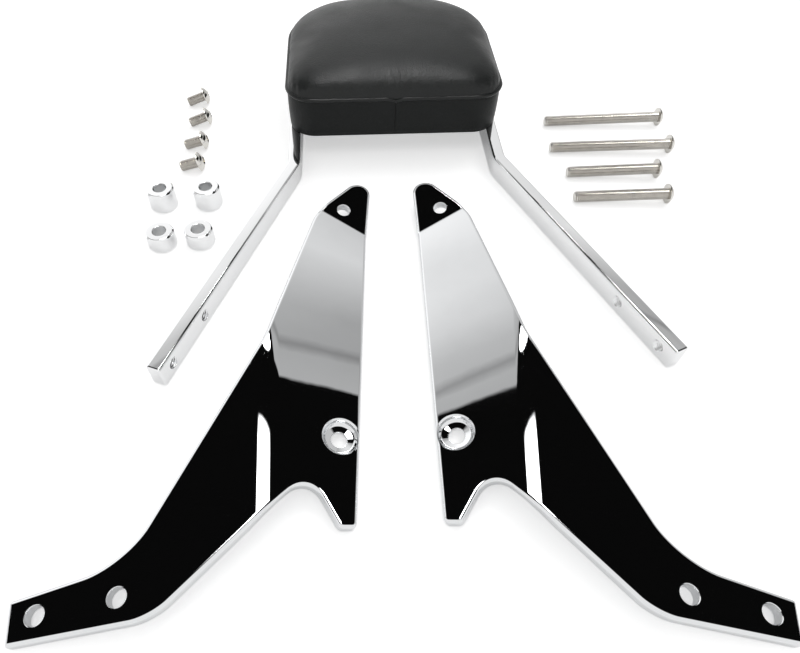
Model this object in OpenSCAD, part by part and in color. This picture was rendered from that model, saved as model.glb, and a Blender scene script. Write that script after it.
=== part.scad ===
// Sissy bar: padded upright, two folded side plates and their fasteners.
// Everything lies as it comes to rest: the upright on its back with the pad
// facing up, the plates with their outer faces up, the screws on their sides.

/* [Upright bar] */
// Width of the bar seen from the front
bar_w = 9; // [7:0.5:12]
// Depth of the bar from front to back
bar_d = 16; // [14:0.5:20]
// Radius along the four long edges of the bar
bar_edge_r = 1.5; // [0.5:0.25:2.5]
// Outer width of the arch behind the pad
arch_w = 158; // [140:1:190]
// Height of the arch's top over the foot line, the upright's x axis
arch_h = 150; // [130:1:180]
// Outer radius of the two top corners of the arch
arch_corner_r = 40; // [25:1:55]
// Angle by which each leg splays outwards
splay_angle = 22.3; // [10:0.1:30]
// Centreline radius of the splay bends
splay_r = 16; // [12:1:30]
// Straight length of each leg below its bend
leg_len = 186.4; // [140:0.2:240]
// Height over the foot line at which the splay bends begin
splay_up = 11; // [0:0.5:30]
// Distance from the leg's end to its first hole
leg_hole_inset = 11.5; // [11:0.5:20]

/* [Side plates] */
// Thickness of the plate steel
plate_t = 6; // [4:0.5:8]
// Length of the straight edge that runs along the fender
edge_len = 238.4; // [215:1:280]
// Slant of the straight edge against the crease
edge_slant = 6.7; // [4:0.1:9]
// Width of the lower body, from the crease to the straight edge
body_w = 45; // [40:0.5:55]
// Width of the front tip
tip_w = 13.3; // [12:0.1:20]
// Distance of the shoulder from the crease
shoulder_out = 34.5; // [30:0.5:40]
// Height of the shoulder above the crease's lower end
shoulder_up = 205; // [190:1:210]
// Length of the crease
crease_len = 100; // [90:1:115]
// Reach of the arm from the crease to its end
arm_reach = 111; // [100:1:130]
// Width of the arm at its end
arm_w = 19; // [17:0.5:24]
// Drop of the arm's end below the crease's lower end
arm_drop = 35.5; // [28:0.5:45]
// Angle by which the arm folds inwards at the crease
fold_angle = 22; // [10:0.5:30]
// Inner radius of the fold
fold_r = 34; // [20:1:45]
// Angle by which the front tip is set outwards
tip_angle = 12; // [4:0.5:16]
// Inner radius of the bend that sets the tip
tip_bend_r = 8; // [4:0.5:14]

/* [Holes] */
// Clearance hole for an M8 screw
clear_d = 8.6; // [8.4:0.1:9.5]
// Tapped hole in the legs, over the thread's core
tapped_d = 6.8; // [6.6:0.1:7]
// Spacing of the screws that join plate and leg
joint_pitch = 36; // [32:0.5:42]
// Diameter of the counterbore round the lower plate hole
counterbore_d = 18; // [16:0.5:20]
// Depth of the counterbore
counterbore_depth = 3.6; // [2:0.1:3.8]
// Chamfer round the mouth of each hole
mouth_chamfer = 0.8; // [0.3:0.1:1.2]

/* [Pad] */
// Width of the pad
pad_w = 157; // [135:1:190]
// Height of the pad along the bar
pad_h = 136; // [125:1:160]
// Height of the pad's lower edge over the foot line
pad_gap = 36; // [28:1:50]
// Radius of the pad's lower corners
pad_low_r = 20; // [14:1:28]
// Radius of the pad's upper corners
pad_top_r = 50; // [38:1:60]
// Height of the sewn side band
band_h = 30; // [22:1:40]
// Rise of the crowned face above the seam
crown_h = 20; // [14:1:28]
// Thickness of the vinyl with its backing
vinyl_t = 1.5; // [1:0.1:2.5]
// Diameter of the piping in the seam
piping_d = 3.2; // [2.4:0.1:4.5]
// Thickness of the base board
board_t = 7; // [6:0.5:9]

/* [Pad fixing] */
// Thickness of the plate welded between the legs
fix_plate_t = 3; // [2.5:0.5:5]
// Height of that plate along the bar
fix_plate_h = 76; // [66:1:90]
// Spacing of the pad screws across the bar
fix_pitch_x = 90; // [70:1:105]
// Spacing of the pad screws along the bar
fix_pitch_y = 50; // [36:1:54]
// Thread diameter of the pad screws
fix_screw_d = 6; // [5:0.5:6]
// Length of the pad screws
fix_screw_len = 14; // [13:0.5:15]

/* [M8 screws] */
// Thread diameter of the loose screws and bolts
screw_d = 8; // [7.8:0.1:8.2]
// Diameter of their button heads
head_d = 14; // [13:0.5:15]
// Height of their button heads
head_h = 4.4; // [4:0.1:5]
// Width across the flats of the hexagon socket
socket_af = 5; // [4:0.5:6]
// Shank length of the four short screws
short_len = 14; // [12:0.5:20]
// Shank length of the two middle bolts
middle_len = 65; // [50:1:75]
// Shank length of the two long bolts
long_len = 90; // [80:1:100]

/* [Spacers] */
// Outer diameter of the spacers
spacer_d = 19; // [17:0.5:22]
// Bore of the spacers
spacer_bore = 9; // [8.5:0.1:10]
// Height of the two tall spacers
tall_h = 15.5; // [13.5:0.5:20]
// Height of the two short spacers
short_h = 12; // [8:0.5:13]
// Chamfer round each end of a spacer
spacer_chamfer = 1; // [0.4:0.1:1.5]

/* [Hidden] */
$fn = 64;

chrome = "gainsboro";
steel = "darkgray";
vinyl = [0.17, 0.18, 0.18];

// Seating clearance of soft and loose pieces
seat_gap = 0.3;
// Length that is sure to reach past any piece it cuts
far = 400;
// How far a bend swells proud of the straight metal on each side of it
bend_swell = 0.03;
// How far the straight metal runs on into its bend
bend_lap = 0.01;

// Where the loose groups lie, from the middle of the whole layout
upright_place = [-17.1, 65.4];
upright_turn = 2.4;
left_plate_place = [-45.6, -190.8];
left_plate_turn = -1.33;
right_plate_place = [-1.8, -188.3];
right_plate_turn = 0.64;
// Tip and heading of each screw: x, y, angle
short_screw_places = [
    [-187.4, 163.5, 19], [-181.0, 134.8, 18], [-179.4, 105.7, 9], [-178.1, 79.9, 7],
];
long_bolt_places = [[103.48, 136.5, 1.2], [101.7, 102.5, 0.3]];
middle_bolt_places = [[108.7, 73.0, 0.4], [108.4, 45.6, 0]];
tall_spacer_places = [[-183.4, 41.6], [-151.7, 43.2]];
short_spacer_places = [[-176.6, 2.8], [-151.3, 4.9]];

// Outlines with rounded corners

function unit(v) = v / norm(v);

// Points of a corner at b, between a and c, rounded to radius r
function corner_points(a, b, c, r, steps = 8) =
    let (
        u = unit(a - b), w = unit(c - b),
        half = acos(u * w) / 2,
        reach = r / tan(half),
        mid = unit(u + w),
        centre = b + mid * (r / sin(half)),
        start = b + u * reach - centre,
        finish = b + w * reach - centre,
        turn_sign = start.x * finish.y - start.y * finish.x > 0 ? 1 : -1,
        sweep = turn_sign * (180 - 2 * half),
        from = atan2(start.y, start.x)
    )
    [for (i = [0:steps]) let (t = from + sweep * i / steps) centre + r * [cos(t), sin(t)]];

// A closed outline; each corner is [x, y, radius]
function rounded_outline(corners) =
    let (n = len(corners))
    [for (i = [0:n - 1])
        let (a = corners[(i + n - 1) % n], b = corners[i], c = corners[(i + 1) % n])
        each corner_points([a.x, a.y], [b.x, b.y], [c.x, c.y], b.z)];

// Upright bar

straight_up = arch_h - arch_corner_r;
half_arch = arch_w / 2;
arch_bend_r = arch_corner_r - bar_w / 2;
bar_line_x = half_arch - bar_w / 2;

module bar_section(swell = 0) {
    w = bar_w / 2 + swell;
    d = bar_d / 2 + swell;
    r = bar_edge_r + swell;
    square([2 * w, 2 * (d - r)], center = true);
    square([2 * (w - r), 2 * d], center = true);
    for (x = [-1, 1], y = [-1, 1]) translate([x * (w - r), y * (d - r)]) circle(r);
}

// Straight bar from the origin along +Y
module bar_straight(length) {
    translate([0, 0, bar_d / 2]) rotate([-90, 0, 0]) linear_extrude(length) bar_section();
}

module bar_bend(radius, from, sweep, swell = 0) {
    translate([0, 0, bar_d / 2]) rotate([0, 0, from])
        rotate_extrude(angle = sweep) translate([radius, 0]) bar_section(swell);
}

// Turns its children with the splayed leg, the bend's centre at the origin
module in_splay() {
    translate([bar_line_x + splay_r, splay_up, 0]) rotate([0, 0, splay_angle]) children();
}

// Places its children at the end of a leg, +Y pointing back along the leg
module at_leg_end() {
    translate([-splay_r, -leg_len, 0]) children();
}

module leg_hole(along) {
    translate([0, along, bar_d / 2]) rotate([0, 90, 0]) {
        cylinder(h = bar_w + 1, d = tapped_d, center = true);
        for (side = [-1, 1])
            translate([0, 0, side * (bar_w / 2 - mouth_chamfer / 2)])
                cylinder(h = mouth_chamfer,
                         d1 = tapped_d + (1 - side) * mouth_chamfer,
                         d2 = tapped_d + (1 + side) * mouth_chamfer, center = true);
    }
}

module half_upright() {
    difference() {
        union() {
            translate([0, arch_h - bar_w / 2, 0]) rotate([0, 0, -90])
                bar_straight(half_arch - arch_corner_r);
            translate([half_arch - arch_corner_r, straight_up, 0]) bar_bend(arch_bend_r, 0, 90);
            translate([bar_line_x, splay_up - bend_lap, 0])
                bar_straight(straight_up - splay_up + bend_lap);
            in_splay() {
                bar_bend(splay_r, 180 - splay_angle, splay_angle, bend_swell);
                at_leg_end() bar_straight(leg_len + bend_lap);
            }
        }
        in_splay() at_leg_end() {
            leg_hole(leg_hole_inset);
            leg_hole(leg_hole_inset + joint_pitch);
        }
    }
}

module upright_bar() {
    color(chrome) in_upright() {
        half_upright();
        mirror([1, 0, 0]) half_upright();
    }
}

module in_upright() {
    translate([upright_place.x, upright_place.y, 0]) rotate([0, 0, upright_turn]) children();
}

// Pad fixing, hidden behind the pad

pad_low = pad_gap;
pad_mid = pad_gap + pad_h / 2;
fix_mid = (pad_gap + arch_h) / 2 - 4;
fix_plate_top = bar_d;
washer_t = 1.6;
washer_d = 12;
fix_head_h = 3.3;
fix_head_d = 10.5;
fix_socket_af = 4;
fix_seat = fix_plate_top - fix_plate_t;

module at_fixing(index) {
    sx = index % 2 == 0 ? -1 : 1;
    sy = index < 2 ? -1 : 1;
    translate([sx * fix_pitch_x / 2, fix_mid + sy * fix_pitch_y / 2, 0]) children();
}

module pad_fixing_plate() {
    inner_w = arch_w - 2 * bar_w;
    color(chrome) in_upright() difference() {
        translate([0, fix_mid, fix_plate_top - fix_plate_t / 2])
            cube([inner_w, fix_plate_h, fix_plate_t], center = true);
        for (i = [0:3]) at_fixing(i)
            translate([0, 0, fix_seat - 1])
                cylinder(h = fix_plate_t + 2, d = fix_screw_d + 0.6);
    }
}

module pad_washer(index) {
    color(steel) in_upright() at_fixing(index) difference() {
        translate([0, 0, fix_seat - washer_t]) cylinder(h = washer_t, d = washer_d);
        translate([0, 0, fix_seat - washer_t - 1])
            cylinder(h = washer_t + 2, d = fix_screw_d + 0.4);
    }
}

module pad_screw(index) {
    color(steel) in_upright() at_fixing(index)
        translate([0, 0, fix_seat - washer_t - fix_head_h])
            button_screw(fix_screw_d, fix_screw_len, fix_head_d, fix_head_h, fix_socket_af);
}

// Pad

back_z = bar_d;
board_z = back_z + vinyl_t;
foam_z = board_z + board_t;
seam_z = back_z + band_h;
nut_flange_d = 19;
nut_flange_t = 1.2;
nut_barrel_d = fix_screw_d + 2;
nut_barrel_h = board_t;
crown_steps = 6;
// How far the crown's shoulder rolls in from the seam
crown_roll = 42;
// Share of the crown's rise that the shoulder takes
shoulder_share = 0.86;

// The pad's outline seen from its face, drawn in by inset
module pad_outline(inset = 0) {
    half = pad_w / 2;
    low = pad_low_r - min(inset, pad_low_r - 2);
    top = pad_top_r - min(inset, pad_top_r - 2);
    hull() for (side = [-1, 1]) {
        translate([side * (half - inset - low), pad_low + inset + low]) circle(low);
        translate([side * (half - inset - top), pad_low + pad_h - inset - top]) circle(top);
    }
}

// Crowned form from z up, as layers of the outline drawn in along a quarter ellipse
module crown(skin = 0) {
    slice = 0.2;
    lift = crown_h - skin;
    hull() {
        for (i = [0:crown_steps - 1]) {
            a = 90 * i / crown_steps;
            translate([0, 0, lift * shoulder_share * sin(a)]) linear_extrude(slice)
                pad_outline(skin + crown_roll * (1 - cos(a)), $fn = 32);
        }
        translate([0, 0, lift - slice]) linear_extrude(slice)
            pad_outline(crown_roll + 22, $fn = 32);
    }
}

module fixing_holes(diameter, from, height) {
    for (i = [0:3]) at_fixing(i) translate([0, 0, from]) cylinder(h = height, d = diameter);
}

module pad_back_cover() {
    color(vinyl) in_upright() difference() {
        translate([0, 0, back_z]) linear_extrude(vinyl_t) pad_outline(vinyl_t + seat_gap);
        fixing_holes(nut_barrel_d + 1, back_z - 1, vinyl_t + 2);
    }
}

module pad_base_board() {
    color("burlywood") in_upright() difference() {
        translate([0, 0, board_z]) linear_extrude(board_t) pad_outline(vinyl_t + seat_gap);
        fixing_holes(nut_barrel_d, board_z - 1, board_t + 2);
    }
}

// Flange on the board's upper face, barrel down through the board
module pad_tee_nut(index) {
    color(steel) in_upright() at_fixing(index) difference() {
        union() {
            translate([0, 0, foam_z]) cylinder(h = nut_flange_t, d = nut_flange_d);
            translate([0, 0, foam_z - nut_barrel_h]) cylinder(h = nut_barrel_h, d = nut_barrel_d);
        }
        translate([0, 0, foam_z - nut_barrel_h - 1])
            cylinder(h = nut_barrel_h + nut_flange_t + 2, d = fix_screw_d);
    }
}

module pad_foam() {
    color("lightyellow") in_upright() difference() {
        union() {
            translate([0, 0, foam_z]) linear_extrude(seam_z - foam_z)
                pad_outline(vinyl_t + seat_gap);
            translate([0, 0, seam_z]) crown(vinyl_t + seat_gap);
        }
        fixing_holes(nut_flange_d + 1, foam_z - 1, 1 + nut_flange_t + seat_gap);
        fixing_holes(nut_barrel_d, foam_z - 1, 7);
    }
}

module pad_side_band() {
    color(vinyl) in_upright() translate([0, 0, back_z]) linear_extrude(band_h) difference() {
        pad_outline();
        pad_outline(vinyl_t);
    }
}

module pad_face_cover() {
    color(vinyl) in_upright() translate([0, 0, seam_z]) difference() {
        crown();
        translate([0, 0, -0.01]) crown(vinyl_t);
    }
}

// Round piping that follows the seam, half sunk between band and face
module pad_piping() {
    half = pad_w / 2;
    r = piping_d / 2;
    out = r + 0.05;
    low_y = pad_low + pad_low_r;
    top_y = pad_low + pad_h - pad_top_r;
    color(vinyl) in_upright() translate([0, 0, seam_z]) for (side = [0, 1]) mirror([side, 0, 0]) {
        translate([0, pad_low - out, 0]) rotate([0, 90, 0])
            cylinder(h = half - pad_low_r, r = r);
        translate([0, pad_low + pad_h + out, 0]) rotate([0, 90, 0])
            cylinder(h = half - pad_top_r, r = r);
        translate([half + out, low_y, 0]) rotate([-90, 0, 0]) cylinder(h = top_y - low_y, r = r);
        translate([half - pad_low_r, low_y, 0]) rotate([0, 0, -90])
            rotate_extrude(angle = 90) translate([pad_low_r + out, 0]) circle(r);
        translate([half - pad_top_r, top_y, 0])
            rotate_extrude(angle = 90) translate([pad_top_r + out, 0]) circle(r);
    }
}

// Side plates. The blank is drawn flat: x = 0 is the crease, +x is the body, y runs along the
// crease from its lower end.

fold_top_r = fold_r + plate_t;
// Length of the blank that goes into the fold, along its outer face
fold_arc = fold_top_r * fold_angle * PI / 180;
bend_steps = 6;
hook_drop = 7.5;
hook_w = 8.6;
hook_slant = 28;
arm_slope_low = 4;
arm_slope_up = 12;
arm_end_lean = 7;
notch_slope = 40;

edge_dir = [sin(edge_slant), cos(edge_slant)];
edge_foot = [body_w, -hook_drop];
tip_outer = edge_foot + edge_len * edge_dir;
shoulder = [shoulder_out, shoulder_up];
arm_end_low = [-arm_reach, -arm_drop - arm_w / 2];
arm_end_up = arm_end_low + arm_w * [-sin(arm_end_lean), cos(arm_end_lean)];

// Where the line from p at angle a meets the line from q at angle b
function meet(p, a, q, b) =
    let (
        u = [cos(a), sin(a)], w = [cos(b), sin(b)],
        d = q - p, k = (d.x * w.y - d.y * w.x) / (u.x * w.y - u.y * w.x)
    )
    p + k * u;

crease_top = [0, crease_len];
outer_line_angle = 61.3;
elbow = meet(crease_top, outer_line_angle, arm_end_up, arm_slope_up);
notch_line = [0, 0];
belly = meet(arm_end_low, arm_slope_low, notch_line, notch_slope);
hook_inner = edge_foot - [hook_w, 0];
notch_top = meet(notch_line, notch_slope, hook_inner, 90 + hook_slant);

blank_corners = [
    [edge_foot.x, edge_foot.y, 3.2],
    [tip_outer.x, tip_outer.y, 8],
    [tip_outer.x - tip_w, tip_outer.y, 9],
    [shoulder.x, shoulder.y, 40],
    [crease_top.x, crease_top.y, 60],
    [elbow.x, elbow.y, 40],
    [arm_end_up.x, arm_end_up.y, 1.5],
    [arm_end_low.x, arm_end_low.y, 1.5],
    [belly.x, belly.y, 28],
    [notch_top.x, notch_top.y, 10.5],
    [hook_inner.x, hook_inner.y, 3.2],
];

tip_line_slant = 31;
// Where the arm's fold begins, on the body's side of the blank's y axis
fold_start = 8;
// The tip hole's place beyond the tip's bend line and along it
tip_hole_out = 10.2;
tip_hole_along = 15;
counterbore_at = [40, 39.6];
arm_holes_mid = [-82, -31.6];
arm_holes_slant = 5.8;

blank_points = rounded_outline(blank_corners);

// The blank's outline with a bend line on the y axis, what it bends away at -x
crease_view = [for (p = blank_points) p - [fold_start, 0]];
tip_view = [for (p = blank_points)
    let (q = p - shoulder)
    [-q.x * sin(tip_line_slant) - q.y * cos(tip_line_slant),
     q.x * cos(tip_line_slant) - q.y * sin(tip_line_slant)]];

// Heights of the bends' axes over the plate's lower face
crease_axis = -fold_r;
tip_axis = plate_t + tip_bend_r;
tip_arc = tip_bend_r * tip_angle * PI / 180;

// Where a closed outline crosses the line at x, as values of y
function crossings(points, x) =
    let (n = len(points))
    [for (i = [0:n - 1])
        let (a = points[i], b = points[(i + 1) % n])
        if ((a.x <= x) != (b.x <= x)) a.y + (b.y - a.y) * (x - a.x) / (b.x - a.x)];

// A point at height z that has gone an angle round a bend's axis
function bent_point(axis, angle, y, z) =
    [-abs(z - axis) * sin(angle), y, axis + (z - axis) * cos(angle)];

// The metal of one bend, between the two edges of the blank that it runs out to
module bend(view, axis, angle) {
    arc = abs(plate_t - axis) * angle * PI / 180;
    low_z = -bend_swell;
    high_z = plate_t + bend_swell;
    rings = [for (i = [0:bend_steps])
        let (
            a = angle * i / bend_steps,
            edges = crossings(view, -arc * i / bend_steps),
            near = min(edges) - bend_swell,
            away = max(edges) + bend_swell
        )
        each [bent_point(axis, a, near, low_z), bent_point(axis, a, near, high_z),
              bent_point(axis, a, away, high_z), bent_point(axis, a, away, low_z)]];
    last = 4 * bend_steps;
    polyhedron(rings, concat(
        [[0, 1, 2, 3], [last + 3, last + 2, last + 1, last]],
        [for (i = [0:bend_steps - 1], k = [0:3])
            let (m = (k + 1) % 4) [4 * i + k, 4 * i + 4 + k, 4 * i + 4 + m, 4 * i + m]]
    ));
}

module blank(shift = 0) {
    translate([shift, 0]) polygon(blank_points);
}

// Puts the tip's bend line on the y axis, the tip towards -x
module on_tip_line() {
    translate(shoulder) rotate(-90 - tip_line_slant) children();
}

module body_flat() {
    difference() {
        blank();
        translate([fold_start - bend_lap - far, -far]) square([far, 2 * far]);
        on_tip_line() translate([-bend_lap - far, -far]) square([far, 2 * far]);
    }
}

// The arm with the end of the fold on the y axis
module arm_flat() {
    difference() {
        blank(fold_arc - fold_start);
        translate([bend_lap, -far]) square([far, 2 * far]);
    }
}

// The tip with its bend line on the y axis
module tip_flat() {
    difference() {
        translate([tip_arc, 0]) polygon(tip_view);
        translate([bend_lap, -far]) square([far, 2 * far]);
    }
}

// Turns children with what is bent away at -x, through an angle about a bend's axis
module turned(axis, angle) {
    translate([0, 0, axis]) rotate([0, angle, 0]) translate([0, 0, -axis]) children();
}

module at_fold_line() {
    translate([fold_start, 0, 0]) children();
}

module folded() {
    at_fold_line() turned(crease_axis, -fold_angle) children();
}

module at_tip_line() {
    translate([shoulder.x, shoulder.y, 0]) rotate([0, 0, -90 - tip_line_slant]) children();
}

// Hole at a point of a panel, its mouths chamfered on both faces
module plate_hole(at) {
    translate([at.x, at.y, 0]) {
        translate([0, 0, -1]) cylinder(h = plate_t + 2, d = clear_d);
        cylinder(h = mouth_chamfer, d1 = clear_d + 2 * mouth_chamfer, d2 = clear_d);
        translate([0, 0, plate_t - mouth_chamfer])
            cylinder(h = mouth_chamfer, d1 = clear_d, d2 = clear_d + 2 * mouth_chamfer);
    }
}

module counterbore(at) {
    translate([at.x, at.y, plate_t - counterbore_depth])
        cylinder(h = counterbore_depth + 1, d = counterbore_d);
    translate([at.x, at.y, plate_t - mouth_chamfer])
        cylinder(h = mouth_chamfer, d1 = counterbore_d, d2 = counterbore_d + 2 * mouth_chamfer);
}

module folded_plate() {
    arm_pitch = joint_pitch / 2 * [cos(arm_holes_slant), sin(arm_holes_slant)];
    difference() {
        union() {
            linear_extrude(plate_t) body_flat();
            at_fold_line() bend(crease_view, crease_axis, fold_angle);
            folded() linear_extrude(plate_t) arm_flat();
            at_tip_line() {
                bend(tip_view, tip_axis, tip_angle);
                turned(tip_axis, tip_angle) linear_extrude(plate_t) tip_flat();
            }
        }
        plate_hole(counterbore_at);
        counterbore(counterbore_at);
        at_tip_line() turned(tip_axis, tip_angle)
            plate_hole([tip_arc - tip_hole_out, tip_hole_along]);
        folded() for (side = [-1, 1])
            plate_hole(arm_holes_mid + [fold_arc - fold_start, 0] + side * arm_pitch);
    }
}

// Lowest corner of the folded arm seen from the straight edge: how far out and how far down
function fold_point(p) =
    let (x = p.x + fold_arc - fold_start)
    [fold_start + x * cos(fold_angle) - fold_r * sin(fold_angle), p.y,
     x * sin(fold_angle) + fold_r * cos(fold_angle) - fold_r];
function rest_angle(p) =
    let (
        q = fold_point(p),
        out = (edge_foot.x - q.x) * cos(edge_slant) + (q.y - edge_foot.y) * sin(edge_slant)
    )
    atan(-q.z / out);
plate_tilt = max(rest_angle(arm_end_low), rest_angle(arm_end_up));

// The plate at rest on its straight edge, which runs from the origin along +Y, and on its arm
module resting_plate() {
    rotate([0, plate_tilt, 0]) rotate([0, 0, edge_slant])
        translate([-edge_foot.x, -edge_foot.y, 0]) folded_plate();
}

module left_side_plate() {
    color(chrome) translate([left_plate_place.x, left_plate_place.y, 0])
        rotate([0, 0, left_plate_turn]) resting_plate();
}

module right_side_plate() {
    color(chrome) translate([right_plate_place.x, right_plate_place.y, 0])
        rotate([0, 0, right_plate_turn]) mirror([1, 0, 0]) resting_plate();
}

// Screws and spacers

// Button head screw along +Z, standing on its head
module button_screw(thread_d, length, button_d, button_h, flats) {
    tip_chamfer = 0.8;
    rim = 0.6;
    dome_r = (pow(button_d / 2, 2) + pow(button_h - rim, 2)) / (2 * (button_h - rim));
    difference() {
        union() {
            intersection() {
                cylinder(h = button_h, d = button_d);
                translate([0, 0, dome_r]) sphere(dome_r);
            }
            translate([0, 0, button_h]) cylinder(h = length - tip_chamfer, d = thread_d);
            translate([0, 0, button_h + length - tip_chamfer])
                cylinder(h = tip_chamfer, d1 = thread_d, d2 = thread_d - 2 * tip_chamfer);
        }
        translate([0, 0, -1]) cylinder(h = 1 + button_h * 0.6, d = flats / cos(30), $fn = 6);
    }
}

// A screw on its side: tip at place, head towards its heading, both touching the ground
module lying_screw(place, length) {
    total = length + head_h;
    lean = atan((head_d - screw_d) / 2 / length);
    color(steel) translate([place.x, place.y, 0]) rotate([0, 0, place.z])
        translate([0, 0, screw_d / 2 * cos(lean)]) rotate([0, -lean, 0])
            translate([total, 0, 0]) rotate([0, -90, 0])
                button_screw(screw_d, length, head_d, head_h, socket_af);
}

module spacer(place, height) {
    r = spacer_d / 2;
    c = spacer_chamfer;
    inner = spacer_bore / 2;
    color(chrome) translate([place.x, place.y, 0]) rotate_extrude() polygon([
        [inner, 0], [r - c, 0], [r, c], [r, height - c], [r - c, height], [inner, height],
    ]);
}

upright_bar();
pad_fixing_plate();
pad_back_cover();
pad_base_board();
pad_foam();
pad_side_band();
pad_face_cover();
pad_piping();
for (i = [0:3]) {
    pad_tee_nut(i);
    pad_screw(i);
    pad_washer(i);
    lying_screw(short_screw_places[i], short_len);
}
left_side_plate();
right_side_plate();
for (i = [0:1]) {
    lying_screw(middle_bolt_places[i], middle_len);
    lying_screw(long_bolt_places[i], long_len);
    spacer(tall_spacer_places[i], tall_h);
    spacer(short_spacer_places[i], short_h);
}
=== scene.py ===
import math
from functools import partial
import bpy
import bmesh
from mathutils import Matrix, Vector, noise


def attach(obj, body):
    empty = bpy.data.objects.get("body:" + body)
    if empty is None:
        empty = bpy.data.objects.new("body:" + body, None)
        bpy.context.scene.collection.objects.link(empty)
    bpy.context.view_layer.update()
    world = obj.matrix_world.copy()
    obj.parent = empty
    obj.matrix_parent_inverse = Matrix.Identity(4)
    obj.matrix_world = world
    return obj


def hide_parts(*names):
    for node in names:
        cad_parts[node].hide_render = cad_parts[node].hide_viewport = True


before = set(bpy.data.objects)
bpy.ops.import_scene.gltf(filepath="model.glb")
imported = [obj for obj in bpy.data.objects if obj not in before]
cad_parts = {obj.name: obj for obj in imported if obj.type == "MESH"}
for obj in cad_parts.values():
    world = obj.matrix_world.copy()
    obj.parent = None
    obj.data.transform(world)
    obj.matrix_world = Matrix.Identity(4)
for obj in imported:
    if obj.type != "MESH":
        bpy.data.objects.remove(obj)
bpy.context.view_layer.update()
mm = 0.001


def turnZ(degrees):
    return Matrix.Rotation(math.radians(degrees), 4, "Z")


# camera: above the plates' arms, looking down along +Y
view = {"lens": 27, "place": (-0.0407, -0.2856, 0.29), "down": 53, "shiftX": 0.04375}

cameraData = bpy.data.cameras.new("camera")
cameraData.lens = view["lens"]
cameraData.shift_x = view["shiftX"]
cameraData.clip_start = 0.01
camera = bpy.data.objects.new("camera", cameraData)
camera.location = view["place"]
camera.rotation_euler = (math.radians(90 - view["down"]), 0, 0)
bpy.context.scene.collection.objects.link(camera)
bpy.context.scene.camera = camera
print("camera ready")


# materials

def newMaterial(name, baseColor, roughness, metallic=0.0):
    material = bpy.data.materials.new(name)
    material.use_nodes = True
    nodes = material.node_tree.nodes
    shader = nodes["Principled BSDF"]
    shader.inputs["Base Color"].default_value = (*baseColor, 1)
    shader.inputs["Roughness"].default_value = roughness
    shader.inputs["Metallic"].default_value = metallic
    return material, material.node_tree, shader


def newGroup(name, inputs, outputs):
    # inputs are (name, kind, value) and outputs (name, kind)
    group = bpy.data.node_groups.new(name, "ShaderNodeTree")
    for label, kind, value in inputs:
        socket = group.interface.new_socket(name=label, in_out="INPUT", socket_type=kind)
        socket.default_value = value
    for label, kind in outputs:
        group.interface.new_socket(name=label, in_out="OUTPUT", socket_type=kind)
    start = group.nodes.new("NodeGroupInput")
    end = group.nodes.new("NodeGroupOutput")
    return group, start, end


def addNode(tree, kind, **settings):
    # each setting goes to the input of that name, or else to the node itself
    node = tree.nodes.new(kind)
    for key, value in settings.items():
        if key in node.inputs:
            node.inputs[key].default_value = value
        else:
            setattr(node, key, value)
    return node


def mathNode(tree, operation, first, second):
    node = tree.nodes.new("ShaderNodeMath")
    node.operation = operation
    for socket, value in zip(node.inputs, (first, second)):
        if isinstance(value, (int, float)):
            socket.default_value = value
        else:
            tree.links.new(value, socket)
    return node.outputs[0]


def buildHandlingGroup():
    # faint smudges and drift in the gloss of a metal or coated surface
    group, start, end = newGroup(
        "handling marks",
        [("Base Roughness", "NodeSocketFloat", 0.05), ("Smudge", "NodeSocketFloat", 0.04),
         ("Size", "NodeSocketFloat", 40.0)],
        [("Roughness", "NodeSocketFloat"), ("Mask", "NodeSocketFloat")])
    place = addNode(group, "ShaderNodeTexCoord")
    broad = addNode(group, "ShaderNodeTexNoise", Detail=3.0, Roughness=0.55)
    group.links.new(place.outputs["Object"], broad.inputs["Vector"])
    group.links.new(start.outputs["Size"], broad.inputs["Scale"])
    shaped = addNode(group, "ShaderNodeMapRange")
    shaped.inputs["From Min"].default_value = 0.42
    shaped.inputs["From Max"].default_value = 0.72
    group.links.new(broad.outputs["Fac"], shaped.inputs["Value"])
    extra = mathNode(group, "MULTIPLY", shaped.outputs[0], start.outputs["Smudge"])
    total = mathNode(group, "ADD", extra, start.outputs["Base Roughness"])
    group.links.new(total, end.inputs["Roughness"])
    group.links.new(shaped.outputs[0], end.inputs["Mask"])
    return group


def buildGrainGroup():
    # pebbled vinyl: rounded cells with fine noise between them, and a painted shade for the creases
    # between the cells
    group, start, end = newGroup(
        "vinyl grain",
        [("Cell Size", "NodeSocketFloat", 1400.0), ("Crease Depth", "NodeSocketFloat", 0.5)],
        [("Height", "NodeSocketFloat"), ("Crease Shade", "NodeSocketFloat")])
    place = addNode(group, "ShaderNodeTexCoord")
    warp = addNode(group, "ShaderNodeTexNoise", Scale=300.0, Detail=2.0)
    group.links.new(place.outputs["Object"], warp.inputs["Vector"])
    bend = addNode(group, "ShaderNodeVectorMath", operation="MULTIPLY_ADD")
    bend.inputs[1].default_value = (0.0012, 0.0012, 0.0012)
    group.links.new(warp.outputs["Color"], bend.inputs[0])
    group.links.new(place.outputs["Object"], bend.inputs[2])
    cells = addNode(group, "ShaderNodeTexVoronoi", feature="SMOOTH_F1", Smoothness=0.35)
    group.links.new(bend.outputs[0], cells.inputs["Vector"])
    group.links.new(start.outputs["Cell Size"], cells.inputs["Scale"])
    fine = addNode(group, "ShaderNodeTexNoise", Scale=5200.0, Detail=2.0)
    group.links.new(place.outputs["Object"], fine.inputs["Vector"])
    domes = mathNode(group, "SUBTRACT", 1.0, cells.outputs["Distance"])
    deep = mathNode(group, "MULTIPLY", domes, start.outputs["Crease Depth"])
    rough = mathNode(group, "MULTIPLY", fine.outputs["Fac"], 0.18)
    height = mathNode(group, "ADD", deep, rough)
    group.links.new(height, end.inputs["Height"])
    # painted shade: 1 on the cells' domes, falling towards 0 in the creases between them
    group.links.new(domes, end.inputs["Crease Shade"])
    return group


handlingGroup = buildHandlingGroup()
grainGroup = buildGrainGroup()


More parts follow.
